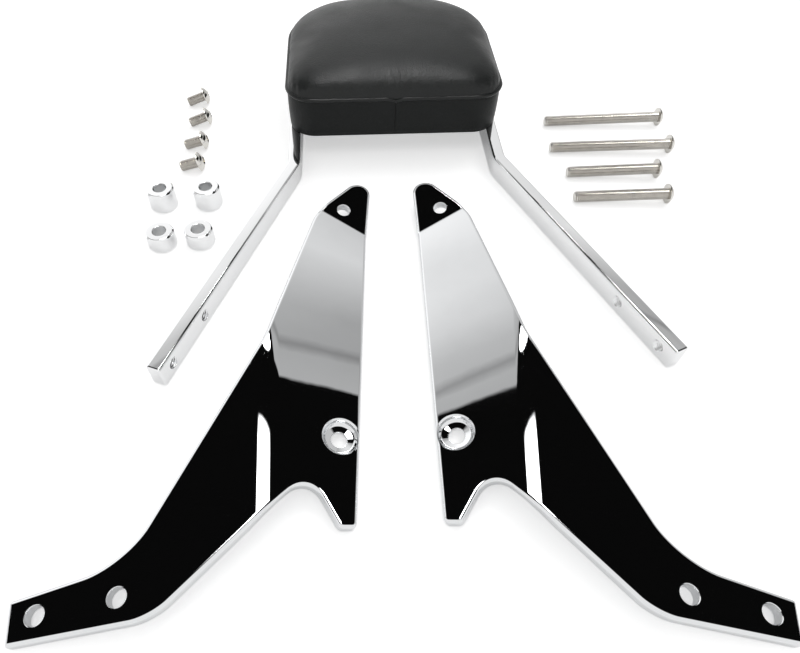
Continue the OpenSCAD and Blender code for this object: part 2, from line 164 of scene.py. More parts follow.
def blendTones(tree, factor, first, second):
    # a colour that goes from first to second as the factor goes from 0 to 1
    mix = addNode(tree, "ShaderNodeMix", data_type="RGBA")
    for socket, tone in zip([s for s in mix.inputs if s.type == "RGBA"], (first, second)):
        socket.default_value = (*tone, 1)
    tree.links.new(factor, mix.inputs["Factor"])
    return next(s for s in mix.outputs if s.type == "RGBA")


def placeGroup(tree, group, **values):
    node = tree.nodes.new("ShaderNodeGroup")
    node.node_tree = group
    for label, value in values.items():
        node.inputs[label.replace("_", " ")].default_value = value
    return node


rippleDepth = 0.0005  # metres, the waviness left by polishing


def metalMaterial(name, values):
    # plated or bare metal: drifting gloss, slight waviness, and a tone that varies a little
    material, tree, shader = newMaterial(name, values["tone"], values["gloss"], 1.0)
    marks = placeGroup(tree, handlingGroup, Base_Roughness=values["gloss"],
                       Smudge=values["smudge"], Size=values["smudgeSize"])
    tree.links.new(marks.outputs["Roughness"], shader.inputs["Roughness"])
    tone = blendTones(tree, marks.outputs["Mask"], values["tone"], values["toneWorn"])
    tree.links.new(tone, shader.inputs["Base Color"])
    place = addNode(tree, "ShaderNodeTexCoord")
    ripple = addNode(tree, "ShaderNodeTexNoise", Scale=values["rippleSize"], Detail=2.0)
    tree.links.new(place.outputs["Object"], ripple.inputs["Vector"])
    bump = addNode(tree, "ShaderNodeBump", Strength=values["ripple"], Distance=rippleDepth)
    tree.links.new(ripple.outputs["Fac"], bump.inputs["Height"])
    tree.links.new(bump.outputs["Normal"], shader.inputs["Normal"])
    return material


def vinylMaterial(name, values):
    # soft vinyl: grain bumps, painted shade that darkens the grain's creases, and gloss that drifts
    # with handling
    material, tree, shader = newMaterial(name, values["tone"], values["gloss"])
    grain = placeGroup(tree, grainGroup, Cell_Size=values["cells"], Crease_Depth=values["crease"])
    bump = addNode(tree, "ShaderNodeBump", Strength=values["grainStrength"],
                   Distance=values["grainDepth"])
    tree.links.new(grain.outputs["Height"], bump.inputs["Height"])
    tree.links.new(bump.outputs["Normal"], shader.inputs["Normal"])
    # painted shade: the colour goes from the low tone in the creases to the plain tone on the domes
    tone = blendTones(tree, grain.outputs["Crease Shade"], values["creaseShadeTone"], values["tone"])
    tree.links.new(tone, shader.inputs["Base Color"])
    marks = placeGroup(tree, handlingGroup, Base_Roughness=values["gloss"],
                       Smudge=values["smudge"], Size=values["smudgeSize"])
    tree.links.new(marks.outputs["Roughness"], shader.inputs["Roughness"])
    shader.inputs["Specular IOR Level"].default_value = values["shine"]
    return material


chromeLook = {"tone": (0.86, 0.87, 0.88), "toneWorn": (0.82, 0.83, 0.84), "gloss": 0.01,
              "smudge": 0.014, "smudgeSize": 22.0, "rippleSize": 55.0, "ripple": 0.025}
barLook = {**chromeLook, "tone": (0.97, 0.975, 0.98), "toneWorn": (0.94, 0.945, 0.95)}
stainlessLook = {"tone": (0.69, 0.67, 0.635), "toneWorn": (0.6, 0.58, 0.55), "gloss": 0.17,
                 "smudge": 0.05, "smudgeSize": 260.0, "rippleSize": 900.0, "ripple": 0.03}
headLook = {"tone": (0.8, 0.785, 0.75), "toneWorn": (0.72, 0.7, 0.66), "gloss": 0.05,
            "smudge": 0.06, "smudgeSize": 300.0, "rippleSize": 700.0, "ripple": 0.03}
zincLook = {"tone": (0.62, 0.63, 0.64), "toneWorn": (0.5, 0.51, 0.53), "gloss": 0.3,
            "smudge": 0.2, "smudgeSize": 200.0, "rippleSize": 700.0, "ripple": 0.12}
# the low tone is painted shade for the creases of the grain
faceLook = {"tone": (0.010, 0.0115, 0.0112), "creaseShadeTone": (0.006, 0.007, 0.0068), "gloss": 0.36,
            "cells": 950.0, "crease": 0.7, "grainStrength": 0.8, "grainDepth": 0.0002,
            "smudge": 0.08, "smudgeSize": 45.0, "shine": 0.35}
bandLook = {**faceLook, "shine": 0.2}
pipingLook = {**faceLook, "gloss": 0.3, "grainStrength": 0.25, "cells": 1500.0}

chrome = metalMaterial("chrome plate", chromeLook)
chromeBar = metalMaterial("bar chrome", barLook)
stainless = metalMaterial("stainless thread", stainlessLook)
stainlessHead = metalMaterial("stainless head", headLook)
zinc = metalMaterial("zinc plate", zincLook)
vinyl = vinylMaterial("black vinyl", faceLook)
vinylBand = vinylMaterial("black band vinyl", bandLook)
vinylPiping = vinylMaterial("black piping vinyl", pipingLook)


boardLook = {"tone": (0.5, 0.36, 0.2), "dark": (0.42, 0.28, 0.15), "pale": (0.62, 0.47, 0.29),
             "roughness": 0.75, "rings": (30, 400, 400)}


def boardMaterial():
    # plywood: a noise stretched along the board's grain
    material, tree, shader = newMaterial("plywood board", boardLook["tone"], boardLook["roughness"])
    place = addNode(tree, "ShaderNodeTexCoord")
    stretch = addNode(tree, "ShaderNodeMapping")
    stretch.inputs["Scale"].default_value = boardLook["rings"]
    tree.links.new(place.outputs["Object"], stretch.inputs["Vector"])
    rings = addNode(tree, "ShaderNodeTexNoise", Scale=1.0, Detail=6.0)
    tree.links.new(stretch.outputs[0], rings.inputs["Vector"])
    tone = blendTones(tree, rings.outputs["Fac"], boardLook["dark"], boardLook["pale"])
    tree.links.new(tone, shader.inputs["Base Color"])
    return material


board = boardMaterial()
print("materials ready")


# shared modelling helpers

def makeObject(bm, name, material, smoothAngle=30):
    mesh = bpy.data.meshes.new(name)
    bm.to_mesh(mesh)
    bm.free()
    mesh.materials.append(material)
    mesh.shade_smooth()
    mesh.set_sharp_from_angle(angle=math.radians(smoothAngle))
    piece = bpy.data.objects.new(name, mesh)
    bpy.context.scene.collection.objects.link(piece)
    return piece


def everything(bm):
    return bm.verts[:] + bm.edges[:] + bm.faces[:]


def vertsOf(geometry):
    return [g for g in geometry if isinstance(g, bmesh.types.BMVert)]


def edgesOf(geometry):
    return [g for g in geometry if isinstance(g, bmesh.types.BMEdge)]


def toMetres(bm):
    bmesh.ops.scale(bm, verts=bm.verts, vec=(mm, mm, mm))


def bakeModifiers(piece):
    # turns a piece's modifiers into its mesh
    graph = bpy.context.evaluated_depsgraph_get()
    mesh = bpy.data.meshes.new_from_object(piece.evaluated_get(graph))
    piece.modifiers.clear()
    old = piece.data
    piece.data = mesh
    bpy.data.meshes.remove(old)


def cutHoles(piece, cutters):
    for cutter in cutters:
        cut = piece.modifiers.new("cut", "BOOLEAN")
        cut.object = cutter
        cut.operation = "DIFFERENCE"
        cut.solver = "EXACT"
    bpy.context.view_layer.update()
    bakeModifiers(piece)
    for cutter in cutters:
        bpy.data.objects.remove(cutter)


def placePiece(piece, matrix, slotName, *nodes, flip=False, weighted=False):
    # sets a piece in its place and ties it to the CAD; flip is for a mirrored piece
    piece.data.transform(matrix)
    if flip:
        bm = bmesh.new()
        bm.from_mesh(piece.data)
        bmesh.ops.recalc_face_normals(bm, faces=bm.faces)
        bm.to_mesh(piece.data)
        bm.free()
    if weighted:
        weigh = piece.modifiers.new("weighted normals", "WEIGHTED_NORMAL")
        weigh.keep_sharp = True
        weigh.weight = 80
    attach(piece, "root")
    if nodes:
        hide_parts(*nodes)


def closeUp(bm, distance=1e-6):
    # merges what meets, and points the faces outwards
    bmesh.ops.remove_doubles(bm, verts=bm.verts, dist=distance)
    bmesh.ops.recalc_face_normals(bm, faces=bm.faces)


def pathFace(bm, corners):
    return bm.faces.new([bm.verts.new((x, y, 0)) for x, y in corners])


def roundCorner(bm, corner, radius, segments):
    # bevels the outline's vertex nearest to the corner, so that the arc has that radius
    vert = min(bm.verts, key=lambda v: (v.co.xy - Vector(corner)).length)
    along = [(e.other_vert(vert).co - vert.co).normalized() for e in vert.link_edges]
    half = along[0].angle(along[1]) / 2
    bmesh.ops.bevel(bm, geom=[vert], offset=radius / math.tan(half), offset_type="OFFSET",
                    affect="VERTICES", segments=segments, profile=0.5, material=-1)


def spinProfile(points, steps, rounded=None):
    # turns a closed outline in x-z about the Z axis; rounded is {index: radius}
    bm = bmesh.new()
    pathFace(bm, points)
    for index, radius in (rounded or {}).items():
        roundCorner(bm, points[index], radius, 4)
    bmesh.ops.rotate(bm, verts=bm.verts, matrix=Matrix.Rotation(math.pi / 2, 3, "X"))
    bmesh.ops.delete(bm, geom=bm.faces[:], context="FACES_ONLY")
    bmesh.ops.spin(bm, geom=bm.verts[:] + bm.edges[:], axis=(0, 0, 1), cent=(0, 0, 0),
                   angle=2 * math.pi, steps=steps, use_merge=True)
    closeUp(bm)
    return bm


def extendRing(bm, ring, offset):
    # draws a ring of edges out along a straight line, and gives the new ring
    made = bmesh.ops.extrude_edge_only(bm, edges=ring)["geom"]
    bmesh.ops.translate(bm, vec=offset, verts=vertsOf(made))
    return [edge for edge in edgesOf(made) if all(v in made for v in edge.verts)]


def bendRing(bm, ring, centre, degrees, steps):
    # sweeps a ring of edges round an upright axis, and gives the last ring
    verts = {v for e in ring for v in e.verts}
    made = bmesh.ops.spin(bm, geom=list(verts) + ring, cent=centre, axis=(0, 0, 1),
                          angle=math.radians(degrees), steps=steps)["geom_last"]
    return edgesOf(made)


# places of the loose groups, as in the CAD: x, y in mm and heading in degrees
layout = {
    "upright": (-17.1, 65.4, 2.4),
    "leftPlate": (-45.6, -190.8, -1.33),
    "rightPlate": (-1.8, -188.3, 0.64),
    "shortScrews": [(-187.4, 163.5, 19), (-181.0, 134.8, 18), (-179.4, 105.7, 9), (-178.1, 79.9, 7)],
    "longBolts": [(103.48, 136.5, 1.2), (101.7, 102.5, 0.3)],
    "middleBolts": [(108.7, 73.0, 0.4), (108.4, 45.6, 0)],
    "tallSpacers": [(-183.4, 41.6), (-151.7, 43.2)],
    "shortSpacers": [(-176.6, 2.8), (-151.3, 4.9)],
}


def placed(x, y, heading):
    return Matrix.Translation((x * mm, y * mm, 0)) @ turnZ(heading)


toUpright = placed(*layout["upright"])

# upright bar: a flat bar on edge, swept round the arch and down the splayed legs
bar = {"width": 9, "depth": 16, "edge": 1.5, "archWidth": 158, "archHeight": 150,
       "cornerRadius": 40, "splay": 22.3, "splayRadius": 16, "splayUp": 11, "leg": 186.4,
       "endRound": 1.4, "holeInset": 11.5, "holePitch": 36, "tapped": 6.8, "tapOver": 0.6,
       "pitch": 1.25}


def buildBar():
    halfArch = bar["archWidth"] / 2
    lineX = halfArch - bar["width"] / 2
    straight = bar["archHeight"] - bar["cornerRadius"]
    bm = bmesh.new()
    w, d = bar["width"] / 2, bar["depth"] / 2
    corners = [(w, d), (-w, d), (-w, -d), (w, -d)]
    pathFace(bm, corners)
    for corner in corners:
        roundCorner(bm, corner, bar["edge"], 5)
    bmesh.ops.delete(bm, geom=bm.faces[:], context="FACES_ONLY")
    # section in the y-z plane at the top of the arch, then round to the right
    bmesh.ops.rotate(bm, verts=bm.verts, matrix=Matrix.Rotation(math.pi / 2, 3, "Y")
                     @ Matrix.Rotation(math.pi / 2, 3, "Z"))
    bmesh.ops.translate(bm, verts=bm.verts, vec=(0, bar["archHeight"] - w, d))
    ring = extendRing(bm, bm.edges[:], (halfArch - bar["cornerRadius"], 0, 0))
    ring = bendRing(bm, ring, (halfArch - bar["cornerRadius"], straight, d), -90, 24)
    ring = extendRing(bm, ring, (0, bar["splayUp"] - straight, 0))
    ring = bendRing(bm, ring, (lineX + bar["splayRadius"], bar["splayUp"], d), bar["splay"], 12)
    down = turnZ(bar["splay"]).to_3x3() @ Vector((0, -bar["leg"], 0))
    ring = extendRing(bm, ring, down)
    bmesh.ops.contextual_create(bm, geom=ring)
    bmesh.ops.mirror(bm, geom=everything(bm), axis="X", merge_dist=0.001)
    closeUp(bm, 0.001)
    # only the two end caps have more than four corners
    endRim = [e for e in bm.edges if any(len(f.verts) > 4 for f in e.link_faces)]
    bmesh.ops.bevel(bm, geom=endRim, offset=bar["endRound"], segments=5, affect="EDGES",
                    profile=0.5, material=-1)
    toMetres(bm)
    return makeObject(bm, "upright_bar_chrome", chromeBar)


tapThread = {"depth": 0.54, "flat": (0.45, 0.55), "steps": 20}
screwThread = {"depth": 0.61, "flat": (0.42, 0.56), "steps": 24}


def threadShell(core, crest, pitch, turns, bottom, ends, form):
    # a thread wound up the Z axis from bottom, cut off and capped at the two ends' heights
    rise, fall = form["flat"]
    bm = bmesh.new()
    line = [bm.verts.new(p) for p in ((core, 0, 0), (crest, 0, pitch * rise),
                                      (crest, 0, pitch * fall), (core, 0, pitch))]
    edges = [bm.edges.new(pair) for pair in zip(line, line[1:])]
    bmesh.ops.spin(bm, geom=line + edges, cent=(0, 0, 0), axis=(0, 0, 1),
                   angle=2 * math.pi * turns, dvec=(0, 0, pitch / form["steps"]),
                   steps=form["steps"] * turns)
    bmesh.ops.remove_doubles(bm, verts=bm.verts, dist=0.002)
    bmesh.ops.translate(bm, verts=bm.verts, vec=(0, 0, bottom))
    for height, side in zip(ends, (-1, 1)):
        made = bmesh.ops.bisect_plane(bm, geom=everything(bm), plane_co=(0, 0, height),
                                      plane_no=(0, 0, side), clear_outer=True)
        bmesh.ops.contextual_create(bm, geom=edgesOf(made["geom_cut"]))
    return bm


def threadedCutter(radius, length, pitch):
    # a tap: thread grooves round a core, centred on the origin
    turns = math.ceil(length / pitch) + 2
    bm = threadShell(radius, radius + pitch * tapThread["depth"], pitch, turns,
                     -turns * pitch / 2 - pitch / 2, (-length / 2, length / 2), tapThread)
    bmesh.ops.recalc_face_normals(bm, faces=bm.faces)
    return bm


def makeCutter(bm, matrix):
    mesh = bpy.data.meshes.new("cutter")
    bm.to_mesh(mesh)
    bm.free()
    mesh.transform(matrix)
    cutter = bpy.data.objects.new("cutter", mesh)
    bpy.context.scene.collection.objects.link(cutter)
    return cutter


def barHoles():
    # two tapped holes through the end of each leg
    cutters = []
    lineX = (bar["archWidth"] - bar["width"]) / 2
    for side in (-1, 1):
        for k in (0, 1):
            bm = threadedCutter(bar["tapped"] / 2, bar["width"] + bar["tapOver"], bar["pitch"])
            mirror = Matrix.Diagonal((side, 1, 1, 1))
            spot = (mirror @ Matrix.Translation((lineX + bar["splayRadius"], bar["splayUp"], 0))
                    @ turnZ(bar["splay"])
                    @ Matrix.Translation((-bar["splayRadius"], bar["holeInset"]
                                          + k * bar["holePitch"] - bar["leg"], bar["depth"] / 2))
                    @ Matrix.Rotation(math.pi / 2, 4, "Y"))
            cutter = makeCutter(bm, Matrix.Scale(mm, 4) @ spot)
            if side < 0:
                cutter.data.flip_normals()
            cutters.append(cutter)
    return cutters


uprightBar = buildBar()
cutHoles(uprightBar, barHoles())
uprightBar.data.set_sharp_from_angle(angle=math.radians(35))
placePiece(uprightBar, toUpright, "chrome", "upright_bar", weighted=True)
print("upright bar ready")


# side plates: a flat blank with its holes, cut across its bend lines, then bent point by point
plate = {"thickness": 6, "edgeLength": 238.4, "edgeSlant": 6.7, "bodyWidth": 45, "hookDrop": 7.5,
         "tipWidth": 13.3, "shoulder": (34.5, 205), "crease": 100, "outerAngle": 61.3,
         "armReach": 111, "armWidth": 19, "armDrop": 35.5, "armLean": 7, "armSlopeUp": 12,
         "armSlopeLow": 4, "notchSlope": 40, "hookWidth": 8.6, "hookSlant": 28, "fold": 22,
         "foldRadius": 34, "foldStart": 8, "tipTurn": 12, "tipRadius": 8, "tipSlant": 31,
         "rest": 16.385, "topEdge": 2.2, "lowEdge": 0.7, "clear": 8.6, "mouth": 0.35,
         "tipHole": (10.2, 15), "armHoles": (-82, -31.6), "armHolesLean": 5.8,
         "armHolesPitch": 36, "counterAt": (40, 39.6)}
rounding = {"foot": 3.2, "tip": 8, "tipInner": 9, "shoulder": 40, "crease": 60, "elbow": 40,
            "armEnd": 1.6, "belly": 28, "notch": 10.5}
counterbore = {"radius": 9, "flare": 1.3, "floor": 2.4, "dish": 1.3, "step": 1.2}


def meet(p, a, q, b):
    # where the line from p at angle a crosses the line from q at angle b
    u = Vector((math.cos(math.radians(a)), math.sin(math.radians(a))))
    w = Vector((math.cos(math.radians(b)), math.sin(math.radians(b))))
    k = (q - p).cross(w) / u.cross(w)
    return p + k * u


def blankCorners():
    # the flat blank's corners and the radius at each, counterclockwise from the foot
    slant = math.radians(plate["edgeSlant"])
    foot = Vector((plate["bodyWidth"], -plate["hookDrop"]))
    tip = foot + plate["edgeLength"] * Vector((math.sin(slant), math.cos(slant)))
    lean = math.radians(plate["armLean"])
    armLow = Vector((-plate["armReach"], -plate["armDrop"] - plate["armWidth"] / 2))
    armUp = armLow + plate["armWidth"] * Vector((-math.sin(lean), math.cos(lean)))
    creaseTop, origin = Vector((0, plate["crease"])), Vector((0, 0))
    elbow = meet(creaseTop, plate["outerAngle"], armUp, plate["armSlopeUp"])
    belly = meet(armLow, plate["armSlopeLow"], origin, plate["notchSlope"])
    hook = foot - Vector((plate["hookWidth"], 0))
    notch = meet(origin, plate["notchSlope"], hook, 90 + plate["hookSlant"])
    tipInner, shoulder = tip - Vector((plate["tipWidth"], 0)), Vector(plate["shoulder"])
    return [(foot, rounding["foot"]), (tip, rounding["tip"]), (tipInner, rounding["tipInner"]),
            (shoulder, rounding["shoulder"]), (creaseTop, rounding["crease"]),
            (elbow, rounding["elbow"]), (armUp, rounding["armEnd"]), (armLow, rounding["armEnd"]),
            (belly, rounding["belly"]), (notch, rounding["notch"]), (hook, rounding["foot"])]


foldTop = plate["foldRadius"] + plate["thickness"]
foldArc = foldTop * math.radians(plate["fold"])
tipArc = plate["tipRadius"] * math.radians(plate["tipTurn"])
toFold = Matrix.Translation((-plate["foldStart"], 0, 0))
toTip = (turnZ(90 + plate["tipSlant"])
         @ Matrix.Translation((-plate["shoulder"][0], -plate["shoulder"][1], 0)))


def bendAway(co, axis, degrees, reference):
    # bends what lies at -x about a line along y at height axis; lengths keep on the reference face
    if co.x >= 0:
        return co.copy()
    limit = math.radians(degrees)
    angle = min(-co.x / reference, limit)
    extra = -co.x - angle * reference
    side = 1 if co.z > axis else -1
    radius = abs(co.z - axis)
    return Vector((-radius * math.sin(angle) - extra * math.cos(angle), co.y,
                   axis + side * (radius * math.cos(angle) - extra * math.sin(angle))))


def bendPlate(co):
    # first the tip, then the fold
    local = toTip @ co
    if local.x < 0:
        co = toTip.inverted() @ bendAway(local, plate["thickness"] + plate["tipRadius"],
                                         plate["tipTurn"], plate["tipRadius"])
    return toFold.inverted() @ bendAway(toFold @ co, -plate["foldRadius"], plate["fold"], foldTop)


def cutAcross(bm, matrix, distances):
    # edges across the blank at these distances beyond a bend line, which is x = 0 of matrix
    back = matrix.inverted()
    normal = back.to_3x3() @ Vector((1, 0, 0))
    for distance in distances:
        bmesh.ops.bisect_plane(bm, geom=everything(bm),
                               plane_co=back @ Vector((-distance, 0, 0)), plane_no=normal)


def buildBlank(name):
    corners = blankCorners()
    bm = bmesh.new()
    pathFace(bm, [c for c, r in corners])
    for corner, radius in corners:
        roundCorner(bm, corner, radius, 14)
    made = bmesh.ops.extrude_face_region(bm, geom=bm.faces[:])["geom"]
    bmesh.ops.translate(bm, vec=(0, 0, plate["thickness"]), verts=vertsOf(made))
    bmesh.ops.recalc_face_normals(bm, faces=bm.faces)
    rims = ((plate["thickness"], plate["topEdge"], 6), (0, plate["lowEdge"], 3))
    for height, width, segments in rims:
        rim = [e for e in bm.edges if all(abs(v.co.z - height) < 1e-5 for v in e.verts)]
        bmesh.ops.bevel(bm, geom=rim, offset=width, segments=segments, affect="EDGES",
                        profile=0.5, material=-1)
    return makeObject(bm, name, chrome, 40)


def holeTool(radius, mouth):
    # cuts a plain hole with a softened mouth at each face
    t, wide = plate["thickness"], radius + mouth
    outline = [(0, -2), (wide + 1, -2), (wide, 0), (radius, mouth), (radius, t - mouth), (wide, t),
               (wide + 1, t + 2), (0, t + 2)]
    return spinProfile(outline, 48, {3: mouth, 4: mouth})


def counterboreTool():
    # cuts a dished seat for a head, with a flared mouth, over a plain hole
    t, r, flare = plate["thickness"], counterbore["radius"], counterbore["flare"]
    floor, step = counterbore["floor"], counterbore["step"]
    low = floor - counterbore["dish"]
    hole = plate["clear"] / 2
    outline = [(0, -2), (hole + 0.3, -2), (hole, 0.6), (hole, low), (r - step, floor),
               (r, floor + 1.4), (r, t - flare), (r + flare, t), (r + flare, t + 2), (0, t + 2)]
    return spinProfile(outline, 72, {3: 0.5, 4: 2.0, 6: 2.2})


def blankHoles():
    lean, reach = math.radians(plate["armHolesLean"]), plate["armHolesPitch"] / 2
    tip = toTip.inverted() @ Vector((-plate["tipHole"][0], plate["tipHole"][1], 0))
    tools = [makeCutter(counterboreTool(), Matrix.Translation((*plate["counterAt"], 0))),
             makeCutter(holeTool(plate["clear"] / 2, plate["mouth"]), Matrix.Translation(tip))]
    for along in (-reach, reach):
        spot = (plate["armHoles"][0] + along * math.cos(lean),
                plate["armHoles"][1] + along * math.sin(lean), 0)
        tool = holeTool(plate["clear"] / 2, plate["mouth"])
        tools.append(makeCutter(tool, Matrix.Translation(spot)))
    return tools


def bendBlank(piece):
    bm = bmesh.new()
    bm.from_mesh(piece.data)
    cutAcross(bm, toFold, [foldArc * i / 20 for i in range(21)])
    cutAcross(bm, toTip, [tipArc * i / 5 for i in range(6)])
    for vert in bm.verts:
        vert.co = bendPlate(vert.co)
    toMetres(bm)
    bm.to_mesh(piece.data)
    bm.free()
    piece.data.shade_smooth()
    piece.data.set_sharp_from_angle(angle=math.radians(34))


foot = Vector((plate["bodyWidth"], -plate["hookDrop"], 0)) * mm
restPlate = (Matrix.Rotation(math.radians(plate["rest"]), 4, "Y") @ turnZ(plate["edgeSlant"])
             @ Matrix.Translation(-foot))
for side, node in (("leftPlate", "left_side_plate"), ("rightPlate", "right_side_plate")):
    sidePlate = buildBlank(node + "_chrome")
    cutHoles(sidePlate, blankHoles())
    bendBlank(sidePlate)
    matrix = placed(*layout[side])
    if side == "rightPlate":
        matrix = matrix @ Matrix.Diagonal((-1, 1, 1, 1))
    placePiece(sidePlate, matrix @ restPlate, "chrome", node, flip=side == "rightPlate",
               weighted=True)
print("side plates ready")


# screws and bolts: a domed head with a hexagon socket on a threaded shank
screw = {"thread": 8, "pitch": 1.25, "head": 14, "headHeight": 4.4, "rim": 0.6, "socket": 5,
         "socketDepth": 0.6, "tipChamfer": 0.8, "short": 14, "middle": 65, "long": 90}


def buildShank(length):
    # the thread starts just inside the head, and its last turn is chamfered
    crest, pitch, start = screw["thread"] / 2, screw["pitch"], screw["headHeight"]
    core, end = crest - screwThread["depth"] * pitch, start + length
    bm = threadShell(core, crest, pitch, math.ceil(length / pitch) + 2, start - pitch * 1.5,
                     (start - 0.2, end), screwThread)
    for vert in bm.verts:
        limit = crest - max(0, vert.co.z - end + screw["tipChamfer"])
        out = vert.co.xy.length
        if out > limit:
            vert.co.x *= limit / out
            vert.co.y *= limit / out
    bmesh.ops.recalc_face_normals(bm, faces=bm.faces)
    return bm


def buildHead():
    # a dome over a short rim, with the socket and its dished mouth cut in
    h, r = screw["headHeight"], screw["head"] / 2
    rise = h - screw["rim"]
    domeRadius = (r * r + rise * rise) / (2 * rise)
    arc = [(domeRadius * math.sin(a), domeRadius - domeRadius * math.cos(a))
           for a in [math.asin(r / domeRadius) * i / 12 for i in range(13)]]
    bm = spinProfile(arc + [(r, h), (0, h)], 48)
    head = makeObject(bm, "head", stainlessHead)
    head.data.transform(Matrix.Scale(mm, 4))
    hexagon, deep, corner = bmesh.new(), 6, screw["socket"] / math.sqrt(3)
    bmesh.ops.create_cone(hexagon, cap_ends=True, segments=6, depth=deep, radius1=corner,
                          radius2=corner)
    bmesh.ops.translate(hexagon, verts=hexagon.verts,
                        vec=(0, 0, h * screw["socketDepth"] - deep / 2))
    mouth = spinProfile([(0, -2), (4.2, -2), (3.3, 0.15), (2.5, 0.75), (0, 0.75)], 32)
    cutHoles(head, [makeCutter(hexagon, Matrix.Scale(mm, 4)), makeCutter(mouth, Matrix.Scale(mm, 4))])
    return head.data


headMesh = buildHead()


def buildScrew(name, node, place, length):
    bm = buildShank(length)
    toMetres(bm)
    piece = makeObject(bm, name, stainless, 50)
    piece.data.materials.append(stainlessHead)
    # the shank, then the head with the second material
    both = bmesh.new()
    both.from_mesh(piece.data)
    count = len(both.faces)
    both.from_mesh(headMesh)
    both.faces.ensure_lookup_table()
    for face in both.faces[count:]:
        face.material_index = 1
    both.to_mesh(piece.data)
    both.free()
    piece.data.set_sharp_from_angle(angle=math.radians(40))
    # it lies on the rim of its head and the tip of its shank
    lean = math.atan((screw["head"] - screw["thread"]) / 2 / length)
    lift = screw["thread"] / 2 * math.cos(lean) * mm
    reach = (length + screw["headHeight"]) * mm
    matrix = (placed(*place) @ Matrix.Translation((0, 0, lift)) @ Matrix.Rotation(-lean, 4, "Y")
              @ Matrix.Translation((reach, 0, 0)) @ Matrix.Rotation(-math.pi / 2, 4, "Y"))
    placePiece(piece, matrix, "stainless_steel", node)


for family, node, length in (("shortScrews", "short_screw", screw["short"]),
                             ("middleBolts", "middle_bolt", screw["middle"]),
                             ("longBolts", "long_bolt", screw["long"])):
    for index, place in enumerate(layout[family]):
        name = f"{node}_{index + 1}"
        buildScrew(name + "_threaded", name, place, length)
bpy.data.meshes.remove(headMesh)
print("screws ready")


# spacers: turned rings with broken edges
spacer = {"outer": 19, "bore": 9, "chamfer": 1, "soft": 0.5, "boreSoft": 0.4, "tall": 15.5,
          "short": 12}


def buildSpacer(name, height):
    r, c, inner = spacer["outer"] / 2, spacer["chamfer"], spacer["bore"] / 2
    outline = [(inner, 0), (r - c, 0), (r, c), (r, height - c), (r - c, height), (inner, height)]
    bm = spinProfile(outline, 72, {k: spacer["boreSoft" if k in (0, 5) else "soft"]
                                   for k in range(6)})
    toMetres(bm)
    return makeObject(bm, name, chromeBar)


for family, node, height in (("tallSpacers", "tall_spacer", spacer["tall"]),
                             ("shortSpacers", "short_spacer", spacer["short"])):
    for index, (x, y) in enumerate(layout[family]):
        ring = buildSpacer(f"{node}_{index + 1}_chrome", height)
        placePiece(ring, placed(x, y, 0), "chrome", f"{node}_{index + 1}", weighted=True)
print("spacers ready")


# pad: crowned vinyl face over foam, sewn to a side band, with piping in the seam
pad = {"width": 157, "height": 136, "gap": 36, "lowRadius": 20, "topRadius": 50, "back": 16,
       "band": 30}
crown = {"shoulder": 26, "rise": 16.2, "middle": ((12, 0.9), (22, 1.3)), "soften": 0.45,
         "voxel": 4, "pressure": 4, "cap": 5}
seamZ = pad["back"] + pad["band"]


def padRing(bm, inset, height, soften):
    # one ring of the outline, stepped in and up; its corners' radii change by soften times the
    # inset. Every ring has as many points, and starts at the same corner
    half = pad["width"] / 2 - inset
    low, high = pad["gap"] + inset, pad["gap"] + pad["height"] - inset
    corners = [((half, low), pad["lowRadius"]), ((half, high), pad["topRadius"]),
               ((-half, high), pad["topRadius"]), ((-half, low), pad["lowRadius"])]
    ring = bmesh.new()
    pathFace(ring, [c for c, r in corners])
    for corner, radius in corners:
        roundCorner(ring, corner, min(radius + soften * inset, half - 2), 12)
    bmesh.ops.translate(ring, verts=ring.verts, vec=(0, 0, height))
    ring.faces.ensure_lookup_table()
    points = [v.co.copy() for v in ring.faces[0].verts]
    ring.free()
    first = max(range(len(points)), key=lambda k: (round(points[k].x - points[k].y, 3)))
    points = points[first:] + points[:first]
    made = [bm.verts.new(co) for co in points]
    return [bm.edges.new((a, b)) for a, b in zip(made, made[1:] + made[:1])]


def loftRings(bm, layers, soften=-1):
    # a closed skin through one ring for each (inset, height)
    rings = [padRing(bm, inset, height, soften) for inset, height in layers]
    for low, high in zip(rings, rings[1:]):
        bmesh.ops.bridge_loops(bm, edges=low + high)
    for end in (rings[0], rings[-1]):
        bmesh.ops.contextual_create(bm, geom=end)
    bmesh.ops.recalc_face_normals(bm, faces=bm.faces)


def buildPadFace():
    # walls that lean in over the piping, a round shoulder, and a low crown
    layers = [(1.0, seamZ - 3), (-0.5, seamZ)]
    for i in range(1, 10):
        a = math.radians(90 * i / 9)
        layers.append((crown["shoulder"] * (1 - math.cos(a)) ** 1.05 - 0.8,
                       seamZ + crown["rise"] * math.sin(a) ** 1.1))
    for inset, up in crown["middle"]:
        layers.append((crown["shoulder"] + inset, seamZ + crown["rise"] + up))
    bm = bmesh.new()
    loftRings(bm, layers, crown["soften"])
    toMetres(bm)
    return makeObject(bm, "pad_face_vinyl", vinyl, 180)


def remeshFace(piece):
    remesh = piece.modifiers.new("remesh", "REMESH")
    remesh.mode = "VOXEL"
    remesh.voxel_size = crown["voxel"] * mm
    bpy.context.view_layer.update()
    bakeModifiers(piece)


